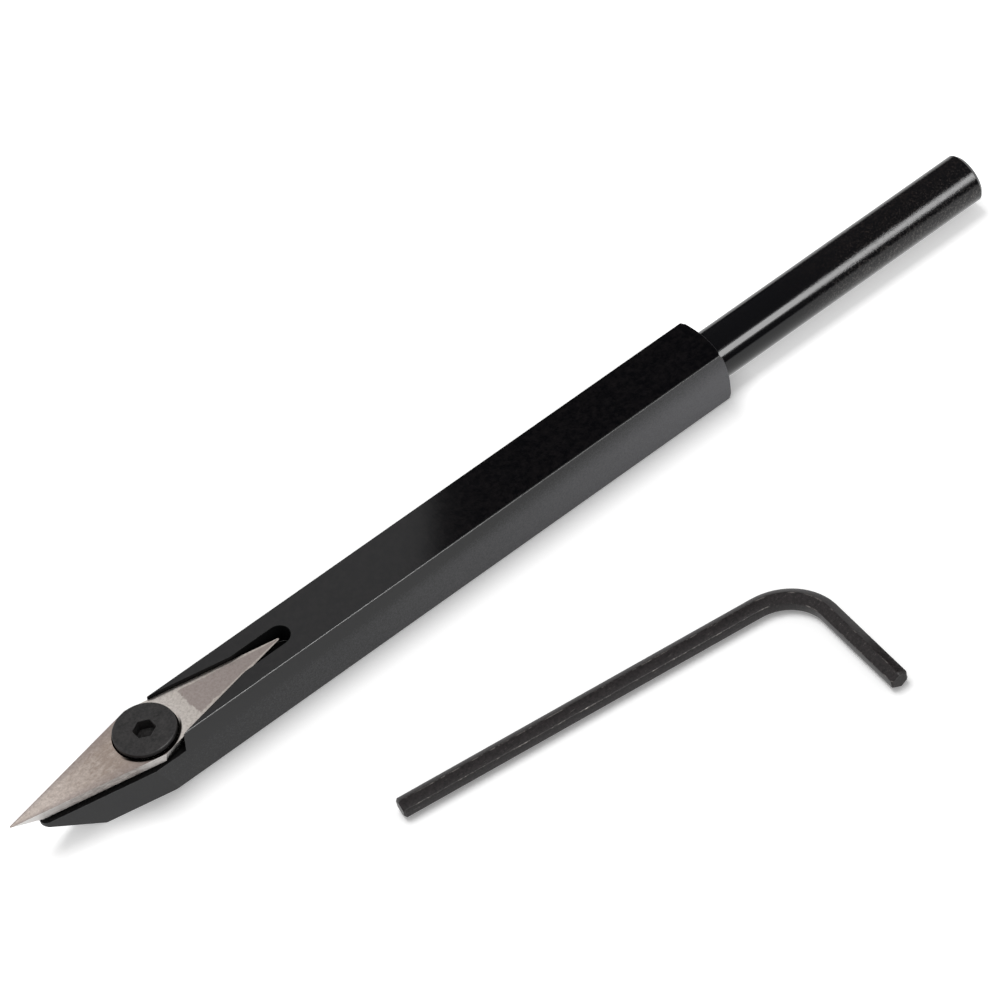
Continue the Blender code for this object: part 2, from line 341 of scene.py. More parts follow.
@dataclass(frozen=True)
class TurnedBlackOxide(Finish):
    """Black oxide on turned steel: glossy black, with fine rings from the lathe.

    Near the tang's end handles have scuffed it, so its gloss breaks up into pale and brown grit.
    """

    name: str = "black_oxide_steel_turned"
    black: str = "#131315"
    brown: str = "#2a2422"
    scuff: str = "#6b6764"
    scuffs: Pattern = Pattern(0.34, 5.0, 0.75, levels=(0.48, 0.7))
    ring_mm: float = 0.3
    ring_waver: float = 0.6
    handled_mm: Pair = (10.0, 30.0)
    flank_shares: Pair = (0.75, 0.55)
    scuff_roughness: Pair = (0.12, 0.26)
    grit_height: float = 50.0
    relief: float = 0.06
    ior: float = 1.46

    def paint(self, add: AddNode, place: NodeSocket) -> Sockets:
        """Scuffs the tang towards its end and draws the lathe's rings.

        Args:
            add: adds a node.
            place: the place on the piece.

        Returns:
            The shader's inputs and the relief's height.
        """
        split = add(SPLIT, {"Vector": place}).node.outputs
        held = ramp(self.handled_mm, MM, SHOULDER_X)
        handled = add(RANGE, {"Value": split["X"], **held}, **SMOOTH)
        # The scuffs are pale on the flanks and only brownish on top
        flank = add(RANGE, {"Value": split["Z"], **ramp(self.flank_shares, BAR_SIDE)})
        rust = add(MIX, {FACTOR: flank, A: self.brown, B: self.scuff}, **IN_COLOUR)
        specks, worn = self.scuffs.build(add, place)
        mask = add(MATH, {0: worn, 1: handled}, operation="MULTIPLY")
        colour = add(MIX, {FACTOR: mask, A: self.black, B: rust}, **IN_COLOUR)
        rough = add(RANGE, {"Value": mask, **ramp(to=self.scuff_roughness)})
        scale = WAVE_PERIOD / (self.ring_mm * MM)
        waves = {"Vector": place, "Scale": scale, "Distortion": self.ring_waver}
        rings = add("ShaderNodeTexWave", waves, bands_direction="X")
        grit = add(MATH, {0: specks, 1: handled}, operation="MULTIPLY")
        height = add(MATH, {0: grit, 1: self.grit_height, 2: rings}, operation="MULTIPLY_ADD")
        return {"Base Color": colour, "Roughness": rough, HEIGHT: height}


@dataclass(frozen=True)
class MattBlackOxide(Finish):
    """Dry black oxide: charcoal with a fine grain, shaded by broader marks."""

    dark: str = "#101011"
    light: str = "#1f1f21"
    marks: Pattern = Pattern(0.5, 3.0)
    grain: Pattern = Pattern(0.22, 4.0, 0.75)
    shade_levels: Pair = (0.4, 0.95)
    raised_marks: bool = True

    def paint(self, add: AddNode, place: NodeSocket) -> Sockets:
        """Shades the charcoal by the marks and the grain.

        Args:
            add: adds a node.
            place: the place on the piece.

        Returns:
            The shader's inputs and the relief's height.
        """
        _, marks = self.marks.build(add, place)
        grain, _ = self.grain.build(add, place)
        mixed = add(MATH, {0: marks, 1: grain}, operation="ADD")
        shade = add(RANGE, {"Value": mixed, **ramp(self.shade_levels)})
        colour = add(MIX, {FACTOR: shade, A: self.dark, B: self.light}, **IN_COLOUR)
        return {"Base Color": colour, HEIGHT: mixed if self.raised_marks else grain}


@dataclass(frozen=True)
class MilledBlackOxide(MattBlackOxide):
    """Black oxide over cutter marks, on the nose and in the hole: matt charcoal in faint lines."""

    name: str = "black_oxide_steel_milled"
    # The cutter's marks run up the nose, so the pattern is stretched along Z
    marks: Pattern = Pattern(0.5, 3.0, strengths=(0.0, 0.35), stretch=(1.0, 1.0, 0.12))
    relief: float = 0.08
    roughness: float = 0.4
    ior: float = 1.4


@dataclass(frozen=True)
class ShadedPocketBlackOxide(MilledBlackOxide):
    """The same film in the pocket, painted a deeper black as shade in the recess, with a duller gloss."""

    name: str = "black_oxide_steel_pocket_painted_shade"
    dark: str = "#040404"
    light: str = "#0b0b0c"
    roughness: float = 0.55
    ior: float = 1.25


@dataclass(frozen=True)
class WornEdgeAndHighlight(Finish):
    """Black oxide rubbed thin along an edge: a fine light line, broken up and fading rearward.

    The light line is partly wear and partly a painted highlight; on the bar's top edges only the outer half of the
    chamfer gets it.
    """

    name: str = "black_oxide_steel_worn_edge_and_highlight"
    black: str = "#141415"
    # Colour of the light line: bare steel together with painted highlight
    steel: str = "#6f6f70"
    runs: Pattern = Pattern(1.4, 6.0, 0.7, levels=(0.3, 0.85))
    fade_mm: Pair = (-12.0, 30.0)
    rear_share: float = 0.35
    inner_mm: Pair = (-0.07, -0.06)
    rubbed_roughness: Pair = (0.16, 0.34)
    inner_roughness: float = 0.7
    ior: float = 1.45

    def paint(self, add: AddNode, place: NodeSocket) -> Sockets:
        """Paints the edge bright in runs that fade to the rear, as wear and painted highlight.

        Args:
            add: adds a node.
            place: the place on the piece.

        Returns:
            The shader's inputs.
        """
        split = add(SPLIT, {"Vector": place}).node.outputs
        rear = add(RANGE, {"Value": split["X"], **ramp(self.fade_mm, MM)}, **SMOOTH)
        inner = add(RANGE, {"Value": split["Z"], **ramp(self.inner_mm, MM, BAR_SIDE)})
        # The light line, partly painted highlight, fades towards the rear
        wear_and_highlight_fade = add(RANGE, {"Value": rear, **ramp(to=(1.0, self.rear_share))})
        outer = add(MATH, {0: wear_and_highlight_fade, 1: inner}, operation="SUBTRACT", use_clamp=True)
        _, rubbed = self.runs.build(add, place)
        bare = add(MATH, {0: rubbed, 1: outer}, operation="MULTIPLY")
        colour = add(MIX, {FACTOR: bare, A: self.black, B: self.steel}, **IN_COLOUR)
        rough = add(RANGE, {"Value": rear, **ramp(to=self.rubbed_roughness)})
        dulled = add(RANGE, {"Value": inner, **ramp(to=(rough, self.inner_roughness))})
        return {"Base Color": colour, "Roughness": dulled}


@dataclass(frozen=True)
class GroundCarbide(Finish):
    """Sintered tungsten carbide with a ground top: a warm grey metal with a fine matt grain.

    The front half is stained brown by use, the zone behind the screw is frosted pale by grinding,
    and the rear half keeps a smoother, darker field inside pale margins.
    """

    name: str = "tungsten_carbide_ground"
    warm: str = "#dacec6"
    stain: str = "#a8998f"
    frost: str = "#d8d1cb"
    margin: str = "#c9c1ba"
    field: str = "#a89d99"
    pore: str = "#7d726b"
    edge: str = "#978b89"
    # Colour of the painted shadow beside the screw's head
    oil: str = "#171413"
    grain: Pattern = Pattern(0.42, 3.0, 0.7, levels=(0.42, 0.72), strengths=(0.0, 0.42))
    # Stains lie in streaks across the blade, as the grinding wheel left them
    streaks: Pattern = Pattern(
        0.9, 8.0, 0.75, strengths=(0.0, 2.3), stretch=(0.7, 1.3, 1.0), turn_degrees=38.0
    )
    border: Pattern = Pattern(1.3, 4.0, 0.6, levels=(0.3, 0.7), strengths=(-0.06, 0.06))
    border_shift_mm: float = 5.0
    stain_mm: Pair = (-17.0, -6.0)
    stain_shift: Pair = (-0.95, -0.2)
    edge_shares: Pair = (0.5, 1.0)
    edge_most: float = 0.55
    field_shares: Pair = (0.78, 0.74)
    field_mm: Pair = (7.5, 7.75)
    frost_mm: Pair = (11.0, 4.0)
    rear_mm: Pair = (0.5, 3.0)
    head_shadow_mm: Pair = (0.65, 0.455)
    head_shadow_side: Pair = (-0.1, -0.55)
    metallic: float = 1.0
    roughness: float = 0.28
    relief: float = 0.2

    def paint(self, add: AddNode, place: NodeSocket) -> Sockets:
        """Paints the stained front, the frosted rear and the screw head's painted shadow.

        Args:
            add: adds a node.
            place: the place on the piece.

        Returns:
            The shader's inputs and the relief's height.
        """
        centred = add(VECTOR, {0: place, 1: SCREW_TOP}, operation="SUBTRACT")
        split = add(SPLIT, {"Vector": centred}).node.outputs
        # The tip is kept bright by the work, so the stain grows towards the screw
        nearer = add(RANGE, {"Value": split["X"], **ramp(self.stain_mm, MM, to=self.stain_shift)})
        _, streaks = self.streaks.build(add, centred)
        stained = add(MATH, {0: streaks, 1: nearer}, operation="ADD", use_clamp=True)
        worked = add(MIX, {FACTOR: stained, A: self.warm, B: self.stain}, **IN_COLOUR)
        # Share of the blade's half width, which falls evenly to the points
        half_length, half_width = (INSERT_HIGH.x - INSERT_LOW.x) / 2, INSERT_HIGH.y
        out = add(MATH, {0: split["X"]}, operation="ABSOLUTE")
        side = add(MATH, {0: split["Y"]}, operation="ABSOLUTE")
        taper = -half_width / half_length
        reach = add(MATH, {0: out, 1: taper, 2: half_width}, operation="MULTIPLY_ADD")
        share = add(MATH, {0: side, 1: reach}, operation="DIVIDE")
        _, ragged = self.border.build(add, centred)
        spread = add(MATH, {0: share, 1: ragged}, operation="ADD")
        # The edges of the working half are greyer than its middle
        greyed = add(RANGE, {"Value": spread, **ramp(self.edge_shares), "To Max": self.edge_most})
        front = add(MIX, {FACTOR: greyed, A: worked, B: self.edge}, **IN_COLOUR)
        # The rear half: frost behind the screw, then the field between its margins
        shift = self.border_shift_mm * MM
        begun = add(MATH, {0: ragged, 1: shift, 2: split["X"]}, operation="MULTIPLY_ADD")
        within = add(RANGE, {"Value": spread, **ramp(self.field_shares)})
        behind = add(RANGE, {"Value": begun, **ramp(self.field_mm, MM)})
        field = add(MATH, {0: within, 1: behind}, operation="MULTIPLY")
        frosted = add(RANGE, {"Value": begun, **ramp(self.frost_mm, MM)})
        pale = add(MIX, {FACTOR: frosted, A: self.margin, B: self.frost}, **IN_COLOUR)
        rear = add(MIX, {FACTOR: field, A: pale, B: self.field}, **IN_COLOUR)
        rearward = add(RANGE, {"Value": begun, **ramp(self.rear_mm, MM)})
        tone = add(MIX, {FACTOR: rearward, A: front, B: rear}, **IN_COLOUR)
        grain, pores = self.grain.build(add, place)
        dry = add(MIX, {FACTOR: pores, A: tone, B: self.pore}, **IN_COLOUR)
        # Painted shadow of the screw's head, darkening the insert's top on the near side
        flat = add(VECTOR, {0: centred, 1: (1.0, 1.0, 0.0)}, operation="MULTIPLY")
        radius = add(VECTOR, {0: flat}, out="Value", operation="LENGTH")
        ring = add(RANGE, {"Value": radius, **ramp(self.head_shadow_mm, MM, HEAD_RADIUS)}, **SMOOTH)
        near = add(RANGE, {"Value": split["Y"], **ramp(self.head_shadow_side, HEAD_RADIUS)}, **SMOOTH)
        head_shadow_share = add(MATH, {0: ring, 1: near}, operation="MULTIPLY")
        colour = add(MIX, {FACTOR: head_shadow_share, A: dry, B: self.oil}, **IN_COLOUR)
        return {"Base Color": colour, HEIGHT: grain}


@dataclass(frozen=True)
class LappedCarbide(Finish):
    """Tungsten carbide lapped on the relieved flanks: matt and pale, with fine lines lengthways.

    The flanks are painted brightest at the point, as painted light where it stands out over the white floor, and
    brighter at the corner beside the pocket's wall.
    """

    name: str = "tungsten_carbide_lapped"
    # Colour of the painted light at the point, also used for the brighter corner
    bright: str = "#f4f1ee"
    pale: str = "#d8d1cb"
    dull: str = "#a29a95"
    lines: Pattern = Pattern(0.5, 4.0, 0.7, levels=(0.35, 0.6), stretch=(0.5, 1.0, 1.0))
    lit_point_mm: Pair = (11.0, 2.2)
    corner_mm: Pair = (-4.5, -2.7)
    corner_most: float = 0.5
    metallic: float = 0.15
    roughness: float = 0.5
    relief: float = 0.08
    relief_mm: float = 0.01

    def paint(self, add: AddNode, place: NodeSocket) -> Sockets:
        """Draws the lapped lines, paints light on the point and brightens the corner.

        Args:
            add: adds a node.
            place: the place on the piece.

        Returns:
            The shader's inputs and the relief's height.
        """
        lines, shade = self.lines.build(add, place)
        lapped = add(MIX, {FACTOR: shade, A: self.pale, B: self.dull}, **IN_COLOUR)
        length = add(SPLIT, {"Vector": place}, out="X")
        # Painted light at the point, which stands out over the white floor
        point = add(RANGE, {"Value": length, **ramp(self.lit_point_mm, MM, INSERT_LOW.x)})
        beside = ramp(self.corner_mm, MM, SCREW_TOP.x, to=(0.0, self.corner_most))
        corner = add(RANGE, {"Value": length, **beside})
        rubbed = add(MATH, {0: point, 1: corner}, operation="MAXIMUM")
        colour = add(MIX, {FACTOR: rubbed, A: lapped, B: self.bright}, **IN_COLOUR)
        return {"Base Color": colour, HEIGHT: lines}


@dataclass(frozen=True)
class HonedCarbide(LappedCarbide):
    """Tungsten carbide as honed, on the unused end and in the countersink: a smooth grey mirror."""

    name: str = "tungsten_carbide_honed"
    pale: str = "#b9b4af"
    dull: str = "#8f8a86"
    metallic: float = 1.0
    roughness: float = 0.22


@dataclass(frozen=True)
class ScrewBlackOxide(MattBlackOxide):
    """Black oxide on a cold-headed screw: matt charcoal with a fine grain under faint clouds."""

    name: str = "black_oxide_screw_steel"
    dark: str = "#0b0b0b"
    light: str = "#363434"
    marks: Pattern = Pattern(1.6, 3.0, strengths=(0.0, 0.6))
    grain: Pattern = Pattern(0.4, 3.0, 0.7)
    shade_levels: Pair = (0.5, 1.1)
    raised_marks: bool = False
    relief: float = 0.25
    roughness: float = 0.46
    ior: float = 1.4


@dataclass(frozen=True)
class KeyBlackOxide(Finish):
    """Black oxide on drawn hexagon wire: satin black, with bright rubbed lines along the ridges."""

    name: str = "black_oxide_key_steel"
    dark: str = "#0b0909"
    light: str = "#2b2627"
    steel: str = "#948f8b"
    grain: Pattern = Pattern(0.42, 3.0, 0.7, levels=(0.3, 0.7))
    runs: Pattern = Pattern(2.6, 7.0, 0.8, levels=(0.5, 0.66), strengths=(0.0, 0.85))
    # A few short scratches on the flats, drawn out along the wire
    scratches: Pattern = Pattern(
        0.3, 5.0, 0.8, levels=(0.59, 0.78), strengths=(0.0, 0.45), stretch=(0.15, 1.0, 1.0)
    )
    relief: float = 0.3
    roughness: float = 0.36
    ior: float = 1.34

    def paint(self, add: AddNode, place: NodeSocket) -> Sockets:
        """Rubs the ridges bright in runs and scratches the flats.

        Args:
            add: adds a node.
            place: the place on the piece.

        Returns:
            The shader's inputs and the relief's height.
        """
        grain, shade = self.grain.build(add, place)
        tone = add(MIX, {FACTOR: shade, A: self.dark, B: self.light}, **IN_COLOUR)
        ridge = add("ShaderNodeAttribute", out="Fac", attribute_name=RIDGE)
        _, rubbed = self.runs.build(add, place)
        worn = add(MATH, {0: ridge, 1: rubbed}, operation="MULTIPLY")
        _, scratched = self.scratches.build(add, place)
        bare = add(MATH, {0: worn, 1: scratched}, operation="MAXIMUM")
        colour = add(MIX, {FACTOR: bare, A: tone, B: self.steel}, **IN_COLOUR)
        return {"Base Color": colour, "Metallic": bare, HEIGHT: grain}


def new_object(name: str, data: ID) -> Object:
    """Puts a mesh, a light or a camera into the scene.

    Args:
        name: the object's name.
        data: what the object shows.

    Returns:
        The object, at the origin.
    """
    made = bpy.data.objects.new(name, data)
    bpy.context.scene.collection.objects.link(made)
    return made


def new_piece(name: str, bm: BMesh, *finishes: Finish) -> Object:
    """Turns a bmesh into a smooth-shaded object that keeps its sharp edges.

    Args:
        name: the name of the object and of its mesh.
        bm: the bmesh, already in place, which is used up.
        finishes: a finish for each material slot.

    Returns:
        The object.
    """
    for face in bm.faces:
        face.smooth = True
    mesh = bpy.data.meshes.new(name)
    bm.to_mesh(mesh)
    bm.free()
    for finish in finishes:
        mesh.materials.append(finish.material())
    return new_object(name, mesh)


def whole_faces(node: str, weld: float = 0.001 * MM, flat_degrees: float = 0.5) -> BMesh:
    """Copies a CAD node's mesh and joins its loose triangles into whole faces.

    Args:
        node: the CAD node's name.
        weld: points closer than this become one.
        flat_degrees: triangles that turn less than this belong to one face.

    Returns:
        The copy as a bmesh.
    """
    bm = bmesh.new()
    bm.from_mesh(frame["nodes"][node].data)
    bmesh.ops.remove_doubles(bm, verts=bm.verts, dist=weld)
    limit = math.radians(flat_degrees)
    bmesh.ops.dissolve_limit(
        bm, angle_limit=limit, verts=bm.verts, edges=bm.edges, use_dissolve_boundaries=False
    )
    bm.normal_update()
    return bm


def round_edges(
    bm: BMesh, width: float, worn_slot: int, sharp_degrees: float = 30.0, least: float = 0.0001 * MM
) -> None:
    """Rounds a solid's sharp edges, as tumbling and handling do, and keeps its flats flat-shaded.

    Args:
        bm: the solid.
        width: how far the rounded strips reach from the edges.
        worn_slot: the material slot that the strips get.
        sharp_degrees: edges that turn more than this are rounded.
        least: edges shorter than this are taken out again.
    """
    limit = math.radians(sharp_degrees)
    sharp = [edge for edge in bm.edges if edge.calc_face_angle(0.0) > limit]
    shape = {"segments": 2, "profile": 0.5, "affect": "EDGES", "clamp_overlap": True}
    made = bmesh.ops.bevel(bm, geom=sharp, offset=width, material=worn_slot, **shape)
    strips = set(made["faces"])
    for edge in bm.edges:
        one, other = (face in strips for face in edge.link_faces)
        edge.smooth = one == other and edge.calc_face_angle(0.0) < limit
    bmesh.ops.dissolve_degenerate(bm, dist=least, edges=bm.edges)
    log.info("rounded %d edges", len(sharp))


class SweepTree:
    """A Geometry Nodes tree with named inputs that ends in realized instances and a material."""

    def __init__(self, name: str, inputs: dict[str, str]) -> None:
        """Makes the tree with its geometry and named inputs.

        Args:
            name: the tree's name.
            inputs: each input's name and socket type.
        """
        self.tree = bpy.data.node_groups.new(name, "GeometryNodeTree")
        self.add: AddNode = partial(add_node, self.tree)
        interface = self.tree.interface
        interface.new_socket("Geometry", in_out="INPUT", socket_type="NodeSocketGeometry")
        self.sockets = {
            key: interface.new_socket(key, in_out="INPUT", socket_type=kind)
            for key, kind in {**inputs, "Finish": "NodeSocketMaterial"}.items()
        }
        interface.new_socket("Geometry", in_out="OUTPUT", socket_type="NodeSocketGeometry")
        self.given = self.tree.nodes.new("NodeGroupInput").outputs

    def end(self, geometry: NodeSocket) -> None:
        """Closes the tree: realizes instances, sets the material and hands the geometry out.

        Args:
            geometry: the last node's geometry.
        """
        real = self.add("GeometryNodeRealizeInstances", {"Geometry": geometry})
        dress = {"Geometry": real, "Material": self.given["Finish"]}
        shaded = self.add("GeometryNodeSetMaterial", dress)
        fill(self.tree.nodes.new("NodeGroupOutput"), {"Geometry": shaded})

    def make(self, name: str, start: Mesh, values: dict[str, object]) -> Object:
        """Runs the tree once on a mesh and keeps the result as a plain mesh.

        Args:
            name: the piece's name.
            start: the mesh that the tree starts from.
            values: a value for each named input.

        Returns:
            The piece, without its modifier.
        """
        piece = new_object(name, start)
        modifier = piece.modifiers.new(name, "NODES")
        modifier.node_group = self.tree
        for key, value in values.items():
            modifier[self.sockets[key].identifier] = value
        evaluated = piece.evaluated_get(bpy.context.evaluated_depsgraph_get())
        mesh = bpy.data.meshes.new_from_object(evaluated)
        piece.modifiers.clear()
        piece.data = mesh
        return piece


class HelixThread(SweepTree):
    """A screw thread's ridge: a helix swept with the thread's profile and run out at both ends."""

    sizes: tuple[str, ...] = ("Radius", "Turns", "Height", "Inner Width", "Outer Width", "Depth")
    turn_steps: int = 36
    run_out_turns: float = 0.5
    run_out_share: float = 0.02

    def __init__(self) -> None:
        """Builds the tree."""
        super().__init__("helix_thread", dict.fromkeys(self.sizes, "NodeSocketFloat"))
        add, given = self.add, self.given
        spiral = {"Rotations": given["Turns"], "Height": given["Height"], "Reverse": True}
        radii = {"Start Radius": given["Radius"], "End Radius": given["Radius"]}
        helix = add("GeometryNodeCurveSpiral", {"Resolution": self.turn_steps, **spiral, **radii})
        upright = add("GeometryNodeSetCurveNormal", {"Curve": helix}, mode="Z_UP")
        # The ridge runs out to nothing over the first and the last half turn
        share = add("GeometryNodeSplineParameter", out="Factor")
        left = add(MATH, {0: 1.0, 1: share}, operation="SUBTRACT")
        nearer = add(MATH, {0: share, 1: left}, operation="MINIMUM")
        turns = add(MATH, {0: nearer, 1: given["Turns"]}, operation="MULTIPLY")
        run_out = {"From Max": self.run_out_turns, "To Min": self.run_out_share}
        full = add(RANGE, {"Value": turns, **run_out})
        widths = {"Bottom Width": given["Outer Width"], "Top Width": given["Inner Width"]}
        profile = add(
            "GeometryNodeCurvePrimitiveQuadrilateral",
            {**widths, "Height": given["Depth"], "Offset": 0.0},
            mode="TRAPEZOID",
        )
        # The profile is drawn with its width along the sweep's side, so it is turned to the axis
        quarter = (0.0, 0.0, math.pi / 2)
        sideways = add("GeometryNodeTransform", {"Geometry": profile, "Rotation": quarter})
        sweep = {"Curve": upright, "Profile Curve": sideways, "Scale": full, "Fill Caps": True}
        self.end(add("GeometryNodeCurveToMesh", sweep))

    def ridge(
        self, name: str, radius: float, ends: Pair, section: Triple, finish: Finish
    ) -> Object:
        """Makes one thread about the screw's axis.

        Args:
            name: the piece's name.
            radius: how far from the axis its section stands.
            ends: the heights that it runs from and to.
            section: its section's inner width, outer width and depth.
            finish: what it is dressed in.

        Returns:
            The thread.
        """
        height = ends[1] - ends[0]
        lengths = (radius, height / THREAD_PITCH, height, *section)
        values = {**dict(zip(self.sizes, lengths)), "Finish": finish.material()}
        thread = self.make(name, bpy.data.meshes.new(name), values)
        thread.data.transform(Matrix.Translation((SCREW_TOP.x, SCREW_TOP.y, ends[0])))
        return thread


class BentHexagon(SweepTree):
    """A hexagon bar swept along a bent path, with rounded ridges and trimmed ends."""

    sizes: tuple[str, ...] = ("Corner Radius", "Ridge Round", "Bend Radius", "End Share")
    bend_steps: int = 24
    ridge_steps: int = 3
    ridge_reach: Pair = (0.966, 0.977)

    def __init__(self) -> None:
        """Builds the tree."""
        kinds = {**dict.fromkeys(self.sizes, "NodeSocketFloat"), "Bend Point": "NodeSocketInt"}
        super().__init__("bent_hexagon", kinds)
        add, given = self.add, self.given
        path = add("GeometryNodeMeshToCurve", {"Mesh": given["Geometry"]})
        whole = add("GeometryNodeSetCurveRadius", {"Curve": path, "Radius": 1.0})
        ends = add("GeometryNodeCurveEndpointSelection")
        trim = {"Curve": whole, "Selection": ends, "Radius": given["End Share"]}
        trimmed = add("GeometryNodeSetCurveRadius", trim)
        points = {WHOLE_A: add("GeometryNodeInputIndex"), WHOLE_B: given["Bend Point"]}
        at_bend = add("FunctionNodeCompare", points, data_type="INT", operation="EQUAL")
        radius = add(MATH, {0: at_bend, 1: given["Bend Radius"]}, operation="MULTIPLY")
        bend = {"Curve": trimmed, "Count": self.bend_steps, "Radius": radius}
        bent = add("GeometryNodeFilletCurve", bend, mode="POLY")
        upright = add("GeometryNodeSetCurveNormal", {"Curve": bent}, mode="Z_UP")
        corners = {"Resolution": 6, "Radius": given["Corner Radius"]}
        hexagon = add("GeometryNodeCurvePrimitiveCircle", corners)
        # A corner points up, so the key lies on a ridge with two upright flats
        twelfth = (0.0, 0.0, math.pi / 6)
        corner_up = add("GeometryNodeTransform", {"Geometry": hexagon, "Rotation": twelfth})
        blunt = {"Curve": corner_up, "Count": self.ridge_steps, "Radius": given["Ridge Round"]}
        rounded = add("GeometryNodeFilletCurve", blunt, mode="POLY")
        # Points on the ridges lie farther out than the ends of the flats
        place = add("GeometryNodeInputPosition")
        reach = add(VECTOR, {0: place}, out="Value", operation="LENGTH")
        share = add(MATH, {0: reach, 1: given["Corner Radius"]}, operation="DIVIDE")
        ridge = add(RANGE, {"Value": share, **ramp(self.ridge_reach)})
        mark = {"Geometry": rounded, "Name": RIDGE, "Value": ridge}
        marked = add("GeometryNodeStoreNamedAttribute", mark, data_type="FLOAT", domain="POINT")
        scale = add("GeometryNodeInputRadius")
        sweep = {"Curve": upright, "Profile Curve": marked, "Scale": scale, "Fill Caps": True}
        self.end(add("GeometryNodeCurveToMesh", sweep))


class FaceKind(Enum):
    """How a piece's faces were made; each kind's value is the finish that this leaves."""

    @property
    def slot(self) -> int:
        """The kind's material slot."""
        return list(type(self)).index(self)


class BarFace(FaceKind):
    """How a face of the bar was made."""

    GROUND = OiledBlackOxide()
    DRAWN = DrawnBlackOxide()
    TURNED = TurnedBlackOxide()
    MILLED = MilledBlackOxide()
    # Rubbed edges whose light line is partly a painted highlight
    WORN_AND_HIGHLIT = WornEdgeAndHighlight()
    # The pocket's faces take a deeper black as painted shade
    POCKET = ShadedPocketBlackOxide()


class InsertFace(FaceKind):
    """How a face of the insert was made."""

    GROUND = GroundCarbide()
    LAPPED = LappedCarbide()
    HONED = HonedCarbide()


@dataclass
class Shank:
    """The square bar, turned down to its tang behind and milled for the insert in front."""

    edge_round: float = 0.05 * MM
    edge_break: float = 0.14 * MM
    corner_zone: float = 0.154 * MM
    corner_file: float = 0.3 * MM
    shoulder_zone: float = 2.0 * MM
    seat_gap: float = 0.3 * MM
    square_on: float = 0.99
    edge_on: float = 0.01
    hole_radius: float = 2.75 * MM
    thread_crest: float = 0.12 * MM
    thread_root: float = 0.6 * MM
    thread_depth: float = 0.3 * MM

    def build(self) -> None:
        """Builds the bar and the tapped thread, and hands them to the shank's body."""
        bar = self.bar()
        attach(bar, "shank")
        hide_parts("tool_shank")
        log.info("bar: %d faces", len(bar.data.polygons))
        thread = self.tapped_thread()
        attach(thread, "shank")
        log.info("tapped thread: %d faces", len(thread.data.polygons))

    def bar(self) -> Object:
        """Dresses the bar by the way that each of its faces was made.

        Returns:
            The bar.
        """
        bm = whole_faces("tool_shank")
        self.file_corners(bm)
        for face in bm.faces:
            face.material_index = self.kind(face.calc_center_median(), face.normal).slot
        round_edges(bm, self.edge_round, BarFace.WORN_AND_HIGHLIT.slot)
        return new_piece("bar", bm, *(kind.value for kind in BarFace))

    def file_corners(self, bm: BMesh) -> None:
        """Files the bar's four rear corners a little blunter than the lathe left them.

        Args:
            bm: the bar.
        """
        half = BAR_SIDE / 2
        for vert in bm.verts:
            out = min(abs(vert.co.y), abs(vert.co.z - half))
            if out > half - self.corner_zone and vert.co.x > 0:
                vert.co.x -= self.corner_file
        bm.normal_update()

    def kind(self, centre: Vector, normal: Vector) -> BarFace:
        """Tells how a face of the bar was made from where it lies.

        Args:
            centre: the face's middle.
            normal: its direction.

        Returns:
            The kind of face.
        """
        half = BAR_SIDE / 2
        outside = max(abs(centre.y), abs(centre.z - half)) > half - self.edge_break
        if outside and abs(normal.x) < self.edge_on:
            if abs(normal.z) > self.square_on:
                return BarFace.GROUND
            return BarFace.DRAWN if abs(normal.y) > self.square_on else BarFace.WORN_AND_HIGHLIT
        if centre.x > SHOULDER_X - self.shoulder_zone:
            return BarFace.TURNED
        # Faces in the pocket get the deeper black of painted shade, the rest the milled finish
        return BarFace.POCKET if centre.z > INSERT_LOW.z - self.seat_gap else BarFace.MILLED

    def tapped_thread(self) -> Object:
        """Winds the thread's ridge inside the tapped hole, clear of the screw.

        Returns:
            The thread.
        """
        low = SHANK_LOW.z + THREAD_PITCH / 4
        ends = (low, low + INSERT_LOW.z - SHANK_LOW.z - THREAD_PITCH)
        section = (self.thread_crest, self.thread_root, self.thread_depth)
        finish = MilledBlackOxide()
        return HelixThread().ridge("tapped_thread", self.hole_radius, ends, section, finish)


@dataclass
class Insert:
    """The double-ended diamond insert."""

    edge_round: float = 0.03 * MM
    level: float = 0.95
    working_end: float = 0.5 * MM

    def build(self) -> None:
        """Builds the insert and hands it to its body."""
        bm = whole_faces("carbide_insert")
        for face in bm.faces:
            face.material_index = self.kind(face.calc_center_median(), face.normal).slot
        round_edges(bm, self.edge_round, SAME_SLOT)
        piece = new_piece("insert", bm, *(kind.value for kind in InsertFace))
        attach(piece, "insert")
        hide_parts("carbide_insert")
        log.info("insert: %d faces", len(piece.data.polygons))

    def kind(self, centre: Vector, normal: Vector) -> InsertFace:
        """Tells how a face of the insert was made from where it lies.

        Args:
            centre: the face's middle.
            normal: its direction.

        Returns:
            Ground for top and bottom, lapped for the working end's flanks, honed for the rest.
        """
        if abs(normal.z) > self.level:
            return InsertFace.GROUND
        outward = normal.x * (centre.x - SCREW_TOP.x) + normal.y * (centre.y - SCREW_TOP.y) > 0
        working = centre.x < SCREW_TOP.x - self.working_end
        return InsertFace.LAPPED if outward and working else InsertFace.HONED


